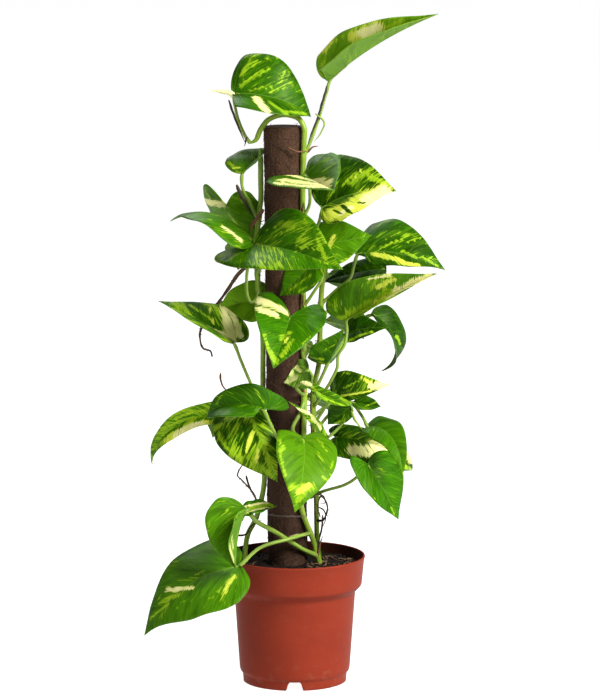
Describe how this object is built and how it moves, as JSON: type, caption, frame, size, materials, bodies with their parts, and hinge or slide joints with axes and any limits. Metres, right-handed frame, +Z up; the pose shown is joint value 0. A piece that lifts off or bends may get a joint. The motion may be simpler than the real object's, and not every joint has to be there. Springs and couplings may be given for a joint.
{
  "type": "potted golden pothos",
  "caption": "Variegated climbing pothos with heart-shaped leaves on a fibre-covered pole, in a terracotta-coloured plastic nursery pot.",
  "frame": {"origin": "middle of the pot's foot, on the surface it stands on, which is within 2 mm of the middle of the whole plant's box", "axes": "+Z up along the pole, -Y towards the side that the picture shows, +X to that view's right"},
  "size_m": [0.3176, 0.2413, 0.7207],
  "materials": {
    "pot": "satin injection-moulded plastic, terracotta red",
    "soil": "dark peat and bark compost with fine roots",
    "pole": "coarse dark coir fibre",
    "stem": "smooth green stem with brown papery sheaths",
    "leaf": "waxy green blade splashed with yellow and cream, paler below",
    "root": "dark brown hairy aerial root",
    "band": "thin clear plant tie, slightly hazy"
  },
  "bodies": {
    "root": {"pot": "pot", "soil": "soil", "pole": "pole", "vine_right": "stem", "vine_left": "stem", "vine_side": "stem", "vine_back": "stem", "leaf_top_left": "leaf", "leaf_top_right": "leaf", "leaf_upper_left": "leaf", "leaf_upper_front": "leaf", "leaf_upper_right": "leaf", "leaf_left_fold": "leaf", "leaf_left_long": "leaf", "leaf_centre_big": "leaf", "leaf_right_behind": "leaf", "leaf_right_big": "leaf", "leaf_centre_under": "leaf", "leaf_right_far": "leaf", "leaf_right_mid": "leaf", "leaf_right_droop": "leaf", "leaf_right_shade": "leaf", "leaf_left_variegated": "leaf", "leaf_left_back": "leaf", "leaf_centre_heart": "leaf", "leaf_right_small": "leaf", "leaf_pale_left": "leaf", "leaf_pale_droop": "leaf", "leaf_right_yellow": "leaf", "leaf_right_low_a": "leaf", "leaf_right_low_b": "leaf", "leaf_left_arched": "leaf", "leaf_far_left": "leaf", "leaf_left_hanging": "leaf", "leaf_front_heart": "leaf", "leaf_pale_edge": "leaf", "leaf_right_cream": "leaf", "leaf_right_dark": "leaf", "leaf_right_front": "leaf", "leaf_low_left_upper": "leaf", "leaf_low_left_big": "leaf", "leaf_back_top": "leaf", "leaf_back_upper_left": "leaf", "leaf_back_upper_right": "leaf", "leaf_back_middle_left": "leaf", "leaf_back_middle_right": "leaf", "leaf_back_centre": "leaf", "leaf_back_low_left": "leaf", "leaf_back_low_right": "leaf", "aerial_root_left": "root", "aerial_root_low_left": "root", "aerial_root_right": "root", "band_low": "band"}
  },
  "joints": []
}
